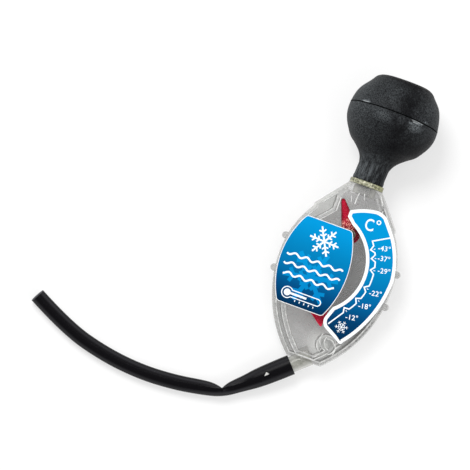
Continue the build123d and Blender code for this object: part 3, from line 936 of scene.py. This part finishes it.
class TESTER_OT_hose(bpy.types.Operator):
    """Builds the suction hose: stretched on the nipple, pinched at its kink, cut open."""

    bl_idname = "tester.hose"
    bl_label = "Hose"

    # The hose's radius at its first points, as shares of its own
    stretch = (1.33, 1.34, 0.96)
    # How far the kink reaches along the hose, in metres, and how much it rises
    kink_reach = 0.0036
    kink_rise = 0.35
    # How finely the line and the round skin on it are divided
    steps = 14
    sides_resolution = 8
    # The window's corners, in millimetres down the hose and towards its upper side
    window_corners = ((11.8, -0.25), (15.5, -0.25), (13.4, 2.0))
    # It is cut in faces this far above the hose's middle and this near, in metres
    window_rise, window_reach = 0.002, 0.009
    # The tooth's pale top: its corners in the same way, where it starts and how high it is
    tooth_corners = ((12.2, 0.0), (15.0, 0.0), (13.4, 1.6))
    tooth_rise = 4.25
    tooth_height = 0.4

    def execute(self, context):
        settings = context.scene.tester_hose
        path = self.centreline()
        tube = self.tube(settings)
        self.pinch(tube, path, settings)
        self.window(tube)
        bmesh.ops.solidify(tube, geom=tube.faces[:], thickness=settings.wall)
        bmesh.ops.recalc_face_normals(tube, faces=tube.faces)
        mesh = mesh_of(tube, "hose_tube")
        rubber = hose_rubber()
        own = Matrix.Identity(4)
        hose = show(mesh, "hose_tube", rubber, "hose_rubber", place=own, sharp=50.0)
        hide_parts("hose")
        self.tooth()
        return {"FINISHED"}

    def curve(self, radii):
        """The hose's middle line, with its radius at each point of the route."""
        data = bpy.data.curves.new("hose_line", "CURVE")
        data.dimensions = "3D"
        data.resolution_u = self.steps
        spline = data.splines.new("NURBS")
        spline.points.add(len(HOSE_ROUTE) - 1)
        for point, place, radius in zip(spline.points, HOSE_ROUTE, radii):
            point.co = (*place, 1.0)
            point.radius = radius
        spline.order_u = 3
        spline.use_endpoint_u = True
        return data

    def centreline(self):
        mesh = from_curve(self.curve([1.0] * len(HOSE_ROUTE)))
        return [Vector(v.co) for v in mesh.vertices]

    def tube(self, settings):
        """The hose's round skin, wider where it grips the nipple."""
        radii = [*self.stretch] + [1.0] * (len(HOSE_ROUTE) - len(self.stretch))
        data = self.curve(radii)
        data.bevel_depth = settings.diameter / 2
        data.bevel_resolution = self.sides_resolution
        bm = bmesh.new()
        bm.from_mesh(from_curve(data))
        bmesh.ops.remove_doubles(bm, verts=bm.verts, dist=1e-7)
        bmesh.ops.recalc_face_normals(bm, faces=bm.faces)
        return bm

    def pinch(self, bm, path, settings):
        """Folds the inner side of the kink in to the middle, as a bent tube buckles."""
        kink = min(path, key=lambda p: (p - Vector(HOSE_ROUTE[HOSE_KINK])).length)
        before = Vector(HOSE_ROUTE[HOSE_KINK - 1])
        after = Vector(HOSE_ROUTE[HOSE_KINK + 1])
        run = (after - before).normalized()
        side = run.cross(Vector((0, 0, 1))).normalized()
        for vert in bm.verts:
            along = (vert.co - kink).dot(run)
            near = math.exp(-abs(along) / self.kink_reach)
            centre = min(path, key=lambda p: (p - vert.co).length)
            width = (vert.co - centre).dot(side)
            vert.co -= side * max(0.0, width) * settings.pinch * near
            height = vert.co.z - centre.z
            vert.co.z += (height + settings.diameter / 2) * self.kink_rise * near / 2

    def on_nipple(self):
        """Carries millimetres down the hose, towards its upper side and out of its front."""
        root, tip = Vector(HOSE_ROUTE[0]), Vector(HOSE_ROUTE[1])
        run = (tip - root).normalized()
        side = run.cross(UP).normalized()
        turn = Matrix((run, side, UP)).transposed().to_4x4()
        return Matrix.Translation(root) @ turn @ Matrix.Scale(MM, 4)

    def tooth(self):
        """The pale top of the nipple's tooth."""
        bm = bmesh.new()
        verts = [bm.verts.new((*corner, 0)) for corner in self.tooth_corners]
        thicken(bm, [bm.faces.new(verts)], self.tooth_rise, self.tooth_height)
        pale = matt_pale("tooth_pale", "#a9a9a6", "#f0f0ec")
        keep(bm, "tooth_top", pale, "clear_case", place=self.on_nipple())

    def window(self, bm):
        """Cuts the three-cornered hole that shows the nipple's tooth."""
        place = self.on_nipple()
        corners = [place @ Vector((*corner, 0)) for corner in self.window_corners]
        middle = sum(corners, Vector()) / len(corners)

        def above():
            return [f for f in bm.faces if self.near_window(f, middle)]

        for first, second in zip(corners, corners[1:] + corners[:1]):
            faces = above()
            edges = {e for f in faces for e in f.edges}
            verts = {v for f in faces for v in f.verts}
            bmesh.ops.bisect_plane(
                bm,
                geom=[*verts, *edges, *faces],
                plane_co=first,
                plane_no=(second - first).cross(UP),
            )
        inside = [f for f in above() if self.in_window(f, corners)]
        bmesh.ops.delete(bm, geom=inside, context="FACES")

    def near_window(self, face, middle):
        spot = face.calc_center_median() - middle
        return spot.dot(UP) > self.window_rise and spot.length < self.window_reach

    def in_window(self, face, corners):
        spot = face.calc_center_median()
        turns = [
            (spot - first).cross(second - first).dot(UP)
            for first, second in zip(corners, corners[1:] + corners[:1])
        ]
        return min(turns) > 0 or max(turns) < 0


class TESTER_OT_bulb(bpy.types.Operator):
    """Builds the squeeze bulb: a hollow ball with a flat end, a seam and a flared neck."""

    bl_idname = "tester.bulb"
    bl_label = "Bulb"

    # The flat end, the shoulder round it, and the shoulder's middle: out, and down by a share
    flat_radius = 12.3
    flat_rise = 0.02
    top_round = 1.35
    shoulder_out, shoulder_share = 0.25, 0.33
    # The neck, and where its flare passes on the way to the ball
    neck_radius = 8.12
    neck_y = 57.5
    flare_x, flare_y = 10.0, 62.8
    flare_end_x = 13.4
    # The lip round the mouth: above the neck ring, and out from the neck
    lip_profile = ((3.0, 0.0), (1.6, 0.22), (0.5, 0.22), (0.02, -0.1))
    bore_radius = 5.95
    # The seam: half its band, in degrees round the ball, its points in degrees and by how
    # much of the setting they stand out, and how far its wander reaches
    seam_band = 4
    seam_profile = (
        (2.4, 0.2),
        (1.2, 0.8),
        (0.7, 1.0),
        (0.3, -2.0),
        (-0.2, -4.5),
        (-0.7, 0.3),
        (-1.4, 0.5),
        (-2.6, 0.1),
    )
    seam_reach = 8.0
    # The uneven skin: its height, its grain and level, and how it fades by neck and flat end
    unevenness = 0.16
    uneven_grain, uneven_level = 0.045, 0.35
    fade_neck, fade_top = 12.0, 6.0
    # How the soft ball hangs off its neck: to one side, wider below, flatter at its shoulders
    lean = 1.25
    lean_start, lean_end = 50.0, 74.0
    swell = 0.115
    swell_y, swell_reach = 66.8, 4.2
    sag = 0.06
    sag_y, sag_reach = 73.5, 11.5
    # Each shoulder's direction from the ball's middle, its reach in degrees and its depth
    shoulders = ((143.0, 15.0, 1.35), (42.0, 12.0, 0.9))

    def execute(self, context):
        settings = context.scene.tester_bulb
        bm = bmesh.new()
        points = self.outside(settings) + self.inside(settings)
        verts = [bm.verts.new((x, y, 0)) for x, y in points]
        edges = [bm.edges.new(pair) for pair in zip(verts, verts[1:])]
        bmesh.ops.spin(
            bm,
            geom=verts + edges,
            cent=(0, 0, 0),
            axis=(0, 1, 0),
            angle=math.tau,
            steps=120,
            use_merge=True,
        )
        bmesh.ops.remove_doubles(bm, verts=bm.verts, dist=1e-4)
        for vert in bm.verts:
            self.soften(vert)
            self.settle(vert)
        piece = keep(bm, "bulb", dust_and_sheen_rubber(), "black_rubber", sharp=60.0)
        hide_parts("squeeze_bulb")
        return {"FINISHED"}

    def outside(self, settings):
        """From the middle of the flat end, over the ball and down the neck."""
        radius = BULB_RADIUS - settings.seam
        top = BULB_TOP_Y
        corner = math.degrees(math.asin((top - self.top_round - BALL_Y) / radius))
        bottom = -math.degrees(math.acos(self.flare_end_x / radius))
        edge = on_ring(0, BALL_Y, radius, corner)
        shoulder = (
            (self.flat_radius + edge[0]) / 2 + self.shoulder_out,
            top - self.top_round * self.shoulder_share,
        )
        points = [(0, top), (self.flat_radius / 2, top + self.flat_rise)]
        points += curve_through((self.flat_radius, top), shoulder, edge, steps=6)
        points += ring_points(0, BALL_Y, radius, corner, self.seam_band, steps=26)[1:]
        for turn, out in self.seam_profile:
            points.append(on_ring(0, BALL_Y, radius + out * settings.seam, turn))
        points += ring_points(0, BALL_Y, radius, -self.seam_band, bottom, steps=30)
        flare, neck = (self.flare_x, self.flare_y), (self.neck_radius, self.neck_y)
        points += curve_through(points[-1], flare, neck, steps=10)[1:]
        for above, out in self.lip_profile:
            points.append((self.neck_radius + out, RING_TOP_Y + above))
        return points

    def inside(self, settings):
        """Up the bore and round the hollow, back to the axis under the flat end."""
        radius = BULB_RADIUS - settings.wall
        top = BULB_TOP_Y - settings.wall
        low = -math.degrees(math.acos(self.bore_radius / radius))
        high = math.degrees(math.asin((top - BALL_Y) / radius))
        mouth = (self.bore_radius, RING_TOP_Y + self.lip_profile[-1][0])
        return [mouth, *ring_points(0, BALL_Y, radius, low, high, steps=40), (0, top)]

    def soften(self, vert):
        """Hand-softened: a slow wander of the skin and seam that leaves the neck true."""
        rise = vert.co.x * SEAM_LEAN[0] + vert.co.z * SEAM_LEAN[1] - SEAM_DROP
        vert.co.y += rise * bell(vert.co.y, BALL_Y, self.seam_reach)
        share = ramp(vert.co.y - self.flare_y, 0, self.fade_neck)
        share *= ramp(BULB_TOP_Y - vert.co.y, 0, self.fade_top)
        drift = noise.noise(vert.co * self.uneven_grain) - self.uneven_level
        out = Vector((vert.co.x, vert.co.y - BALL_Y, vert.co.z)).normalized()
        vert.co += out * drift * self.unevenness * share

    def settle(self, vert):
        """Carries the ball to one side on its neck, and lets its shoulders and flanks give."""
        run = Vector((vert.co.x, vert.co.y - BALL_Y))
        turn = math.degrees(math.atan2(run.y, run.x))
        dent = sum(depth * bell(turn, middle, reach) for middle, reach, depth in self.shoulders)
        dent *= min(1.0, run.length / self.flat_radius)
        vert.co -= run.normalized().to_3d() * dent
        wide = 1 + self.swell * bell(vert.co.y, self.swell_y, self.swell_reach)
        vert.co.x *= wide
        vert.co.z *= wide
        near = bell(vert.co.y, self.sag_y, self.sag_reach)
        above = ramp(vert.co.y, self.lean_start, self.lean_end)
        vert.co.x *= 1 + self.sag * near * above
        vert.co.x += self.lean * above * above * (3 - 2 * above)


class TESTER_OT_main_label(bpy.types.Operator):
    """Prints the main label: blue fade, pale and white snowflakes, waves, thermometer."""

    bl_idname = "tester.main_label"
    bl_label = "Main label"

    blues = ((0.22, "#00497c"), (0.45, "#006ba3"), (0.7, "#007cb4"))
    ghost_blues = ((0.0, "#0076b6"), (0.6, "#018ac8"), (1.0, "#0296d4"))
    # A flake's middle, radius, stroke and turn, and its barbs' places and lengths by the arm
    flake = (-10.9, 12.4, 7.9, 0.9, -3.0, ((0.36, 0.24), (0.64, 0.26)))
    ghost = (-11.2, -7.5, 14.5, 2.3, 10.0, ((0.3, 0.2), (0.62, 0.28)))
    # The waves' middle, and each row's place along the label and half length
    wave_x = -11.8
    wave_rows = ((0.9, 15.2), (-4.1, 15.2), (-9.3, 13.8))
    wave_length = 6.2
    wave_height = 0.75
    wave_width = 0.95
    wave_steps = 60
    # The thermometer: its bulb's middle, and the ends of its tube and column
    bulb_x, bulb_y = -20.0, -18.6
    tube_end, column_end = -3.6, -9.5
    # The radii of its outline, and where on the bulb the tube opens, in degrees
    outline_bulb, outline_tube, outline_width = 2.9, 1.78, 0.5
    opening = 38
    filled_bulb, column_width = 1.75, 1.1
    # Its ticks: the first one's way from the bulb, the step, and both ends below the middle
    tick_count = 5
    tick_start, tick_step = 5.2, 2.5
    tick_near, tick_far, tick_width = 2.6, 3.6, 0.42

    def execute(self, context):
        settings = context.scene.tester_labels
        stops = ((0.0, settings.navy), *self.blues, (1.0, settings.azure))
        blue = blue_print("main_blue", stops, low=-24.0, high=20.0)
        printed_area("main_label", "main_print", settings.edge, blue)
        pale = blue_print("main_ghost", self.ghost_blues, low=-24.0, high=14.0)
        snowflake("main_ghost_flake", pale, GHOST_HEIGHT, *self.ghost)
        white = matt_pale("main_ink", "#e6f3fb", "#fbfdff")
        snowflake("main_flake", white, INK_HEIGHT, *self.flake)
        self.waves(white)
        self.thermometer(white)
        return {"FINISHED"}

    def waves(self, material):
        bm = bmesh.new()
        for row, half in self.wave_rows:
            points = []
            for i in range(self.wave_steps + 1):
                x = -half + 2 * half * i / self.wave_steps
                rise = self.wave_height * math.sin(math.tau * x / self.wave_length)
                points.append((self.wave_x + x, row + rise))
            ink(bm, ribbon(bm, points, self.wave_width))
        keep(bm, "main_waves", material, "label_print")

    def thermometer(self, material):
        """A lying thermometer: a ring round a column, with a filled bulb and ticks."""
        bm = bmesh.new()
        x, y, tube = self.bulb_x, self.bulb_y, self.outline_tube
        around = (self.opening, 360 - self.opening)
        outline = ring_points(x, y, self.outline_bulb, *around, steps=28)
        outline += ring_points(self.tube_end, y, tube, -90, 90, steps=12)
        ink(bm, ribbon(bm, outline, self.outline_width, closed=True))
        ink(bm, disc(bm, x, y, self.filled_bulb))
        column = ribbon(bm, [(x, y), (self.column_end, y)], self.column_width)
        ink(bm, column, INK_HEIGHT + 0.01)
        for i in range(self.tick_count):
            spot = x + self.tick_start + self.tick_step * i
            ends = [(spot, y - self.tick_near), (spot, y - self.tick_far)]
            ink(bm, ribbon(bm, ends, self.tick_width))
        keep(bm, "main_thermometer", material, "label_print")


class TESTER_OT_scale_label(bpy.types.Operator):
    """Prints the scale: border, blue fade, notched line, plain numbers and a snowflake."""

    bl_idname = "tester.scale_label"
    bl_label = "Scale label"

    blues = ((0.15, "#003a66"), (0.35, "#00629b"), (0.6, "#0080b8"), (0.85, "#008dc8"))
    # The line round the pivot: its radius, its notches' radius and half width, in degrees,
    # and its straight ends
    line_radius = 31.1
    line_step = 2.0
    line_width = 0.68
    line_start = [(5.5, -26.8)]
    line_end = [(12.4, 21.1), (20.7, 25.9)]
    notch_radius = 29.1
    notch_half = 3.3
    tick_inside, tick_outside, tick_width = 0.4, 0.5, 0.36
    # Each reading, its direction from the pivot in degrees, and its number's middle
    readings = (
        (-12, -38.9, 15.9, -19.8),
        (-18, -23.7, 20.2, -12.1),
        (-22, -9.5, 23.2, -4.0),
        (-29, 9.1, 23.4, 8.4),
        (-37, 20.8, 21.2, 14.4),
        (-43, 29.7, 19.6, 19.4),
    )
    number_height = 2.6
    number_turn = 11.0
    # The unit's letter: its middle, height, turn in radians and narrowing
    unit = (8.2, 28.1, 6.2, 0.19, 0.8)
    # Its degree ring: the middle, radius and width
    degree = (12.3, 31.2, 0.95, 0.55)
    flake = (12.5, -26.1, 3.4, 0.3, 12.0, ((0.36, 0.3), (0.7, 0.28)))

    def execute(self, context):
        settings = context.scene.tester_labels
        stops = ((0.0, settings.navy), *self.blues, (1.0, settings.azure))
        blue = blue_print("scale_blue", stops, low=-33.0, high=30.0, lean=-0.1)
        printed_area("scale_label", "scale_print", settings.border, blue)
        white = matt_pale("scale_ink", "#e8f4fb", "#fbfdff")
        self.line(white)
        self.ticks(white)
        self.numbers(white)
        self.unit_mark(white)
        snowflake("scale_flake", white, INK_HEIGHT, *self.flake)
        return {"FINISHED"}

    def on_scale(self, radius, angle):
        return on_ring(PIVOT_X, PIVOT_Y, radius, angle)

    def line(self, material):
        """The white line with a notch pointing inwards at each reading."""
        points = [*self.line_start]
        angle = self.readings[0][1] - self.notch_half
        for _, reading, _, _ in self.readings:
            start = reading - self.notch_half
            while angle + self.line_step < start:
                angle += self.line_step
                points.append(self.on_scale(self.line_radius, angle))
            angle = reading + self.notch_half
            points.append(self.on_scale(self.line_radius, start))
            points.append(self.on_scale(self.notch_radius, reading))
            points.append(self.on_scale(self.line_radius, angle))
        bm = bmesh.new()
        ink(bm, ribbon(bm, points + self.line_end, self.line_width))
        keep(bm, "scale_line", material, "label_print")

    def ticks(self, material):
        bm = bmesh.new()
        radii = (self.line_radius - self.tick_inside, self.line_radius + self.tick_outside)
        for _, reading, _, _ in self.readings:
            ends = [self.on_scale(radius, reading) for radius in radii]
            ink(bm, ribbon(bm, ends, self.tick_width))
        keep(bm, "scale_ticks", material, "label_print")

    def numbers(self, material):
        for value, _, x, y in self.readings:
            place = turned(x, y, math.radians(self.number_turn))
            name = f"scale_number_{abs(value)}"
            words(name, f"{value}°", self.number_height, place, material)

    def unit_mark(self, material):
        x, y, height, turn, narrow = self.unit
        place = turned(x, y, turn) @ Matrix.Diagonal((narrow, 1.0, 1.0, 1.0))
        words("scale_unit", "C", height, place, material)
        bm = bmesh.new()
        ink(bm, ring(bm, *self.degree, steps=28))
        keep(bm, "scale_degree", material, "label_print")


class TESTER_OT_finishes(bpy.types.Operator):
    """Gives the carried-over pieces their finishes."""

    bl_idname = "tester.finishes"
    bl_label = "Finishes"

    # The pale streaks' width, start, middle and end: four in the neck, painted highlights on its cone, and three
    # round the post
    streak_paths = (
        (0.5, (-2.4, 42.0), (-2.7, 39.0), (-2.7, 36.0)),
        (0.45, (0.2, 42.6), (0.8, 41.0), (1.2, 39.4)),
        (0.55, (8.1, 45.0), (9.8, 42.5), (11.0, 39.8)),
        (0.35, (-5.8, 39.4), (-5.2, 37.9), (-4.9, 36.2)),
        (0.45, (5.0, -32.2), (4.5, -36.6), (8.6, -40.4)),
        (0.35, (7.2, -33.6), (6.9, -36.6), (10.0, -39.6)),
        (0.4, (7.8, -34.3), (12.9, -36.6), (12.9, -41.4)),
    )
    # How deep they lie under the front, and how high they are
    flow_depth, flow_height = 0.2, 0.08
    # The washer's radius and width, where it lies and how high it is
    washer_radius, washer_width = 2.2, 0.6
    washer_z, washer_height = 4.4, 0.2
    # A rib's root: how far off the floor still counts as on it, its rise and its thickness
    root_flat, root_rise, root_skin = 0.02, 0.9, 0.05
    # Where the neck starts, and the bosses and the post with the radius round them
    neck_start = 38.0
    bosses = ((LEVEL_X, LEVEL_Y, 4.6), (PIVOT_X, PIVOT_Y, 4.6), (POST_X, POST_Y, 3.4))

    def execute(self, context):
        front = clear_plastic("clear_front", 0.008, "#a2a2a0", "#d0d0cd", 0.3)
        rear = clear_plastic("clear_rear", 0.4, "#999998", "#c3c3c0", 0.2, 0.85)
        paint_node("front_shell", front)
        for name in ("rear_shell", "neck_spigot"):
            paint_node(name, rear)
        nipple = clear_plastic("clear_nipple", 0.6, "#83847b", "#c6c6bd", 0.1)
        paint_node("inlet_nipple", nipple)
        # The front's pale rib lines are partly painted highlights on the chamber's walls; the rear's are greyer
        pale = veil_line_and_highlight("rib_pale", "#cccdca", "#ffffff", 0.7)
        dark = veil_line_and_highlight("rib_dark", "#8b8c8b", "#c9c9c6", 0.35)
        self.rib_lines("front_shell", 1, 0.6, pale)
        self.rib_lines("rear_shell", -1, 0.9, dark)
        self.streaks_and_highlights(veil_line_and_highlight("streak_highlight", "#e4e5e1", "#ffffff", 0.6))
        self.pin_washer()
        film = matt_pale("label_film", "#eef2f4", "#f8fafa", screen=6.0)
        for name in ("main_label", "scale_label"):
            paint_node(name, film)
        # The big pointer's red is painted brighter than the plastic, to make up for the labels' shade that it lies
        # in
        paint_node("pointer", red_plastic("brightened_red", "#de0c36", "#f82652", 0.0))
        paint_node("level_pointer", red_plastic("crimson", "#a00626", "#be0e34", 0.85))
        paint_node("pointer_weight", brushed_metal("brass", "#8a6a2c", "#c9a45a", 0.3))
        paint_node("pointer_pin", brushed_metal("steel", "#77777a", "#b9b9bc", 0.25))
        paint_node("level_pin", dark_plastic())
        paint_node("neck_ring", amber_seal())
        return {"FINISHED"}

    def streaks_and_highlights(self, material):
        """Pale streaks under the front: in the neck they are painted highlights on its cone, and three curl round
        the post.
        """
        tree = BVHTree.FromBMesh(on_case("front_shell"))
        bm = bmesh.new()
        for width, *points in self.streak_paths:
            faces = ribbon(bm, curve_through(*points, steps=14), width)
            for vert in {v for f in faces for v in f.verts}:
                above = Vector((vert.co.x, vert.co.y, HALF_DEPTH * 2))
                spot = tree.ray_cast(above, Vector((0, 0, -1)))[0]
                vert.co.z = spot.z - self.flow_depth
            thicken(bm, faces, 0, self.flow_height)
        keep(bm, "front_shell_flow_lines", material, "clear_case")

    def pin_washer(self):
        """A cream washer round the small pointer's pin."""
        bm = bmesh.new()
        faces = ring(bm, LEVEL_X, LEVEL_Y, self.washer_radius, self.washer_width, steps=40)
        thicken(bm, faces, self.washer_z, self.washer_height)
        keep(bm, "level_washer", amber_seal(), "amber_seal", body="level")

    def rib_lines(self, node, side, width, material):
        """A small chamfer along the root of each rib and wall, inside one half."""
        floor_z = side * (HALF_DEPTH - WALL)
        bm = on_case(node)
        raised = {v for v in bm.verts if abs(v.co.z - floor_z) > self.root_flat}
        off = [f for f in bm.faces if raised & {*f.verts}]
        bmesh.ops.delete(bm, geom=off, context="FACES")
        outer = {v.co.to_tuple(3) for e in bm.edges if e.is_boundary for v in e.verts}
        made = bmesh.ops.inset_region(bm, faces=bm.faces[:], thickness=width, use_boundary=True)
        made = {*made["faces"]}
        rest = [f for f in bm.faces if f not in made or self.is_plain(f)]
        bmesh.ops.delete(bm, geom=rest, context="FACES")
        for vert in bm.verts:
            if vert.co.to_tuple(3) in outer:
                vert.co.z -= side * width * self.root_rise
        bmesh.ops.recalc_face_normals(bm, faces=bm.faces)
        bmesh.ops.solidify(bm, geom=bm.faces[:], thickness=self.root_skin)
        keep(bm, f"{node}_rib_roots", material, "clear_case")

    def is_plain(self, face):
        """Whether a rib's root draws no line here: in the neck, at bosses and the post."""
        spot = face.calc_center_median()
        near = any(math.dist(spot.xy, (x, y)) < radius for x, y, radius in self.bosses)
        return spot.y > self.neck_start or near


class TESTER_PT_panel(bpy.types.Panel):
    bl_label = "Antifreeze tester"
    bl_idname = "TESTER_PT_panel"
    bl_space_type = "VIEW_3D"
    bl_region_type = "UI"
    bl_category = "Tester"

    def draw(self, context):
        for operator in OPERATORS:
            self.layout.operator(operator.bl_idname)
        for group in GROUPS:
            settings = getattr(context.scene, group)
            for name in settings.__annotations__:
                self.layout.prop(settings, name)


GROUPS = {
    "tester_hose": TesterHose,
    "tester_bulb": TesterBulb,
    "tester_labels": TesterLabels,
    "tester_stage": TesterStage,
}
OPERATORS = (
    TESTER_OT_stage,
    TESTER_OT_hose,
    TESTER_OT_bulb,
    TESTER_OT_main_label,
    TESTER_OT_scale_label,
    TESTER_OT_finishes,
)


def register():
    for name, group in GROUPS.items():
        bpy.utils.register_class(group)
        setattr(bpy.types.Scene, name, bpy.props.PointerProperty(type=group))
    for operator in OPERATORS:
        bpy.utils.register_class(operator)
    bpy.utils.register_class(TESTER_PT_panel)


def unregister():
    bpy.utils.unregister_class(TESTER_PT_panel)
    for operator in reversed(OPERATORS):
        bpy.utils.unregister_class(operator)
    for name, group in GROUPS.items():
        delattr(bpy.types.Scene, name)
        bpy.utils.unregister_class(group)


def main():
    register()
    for operator in OPERATORS:
        group, name = operator.bl_idname.split(".")
        getattr(getattr(bpy.ops, group), name)()


if __name__ == "__main__":
    main()
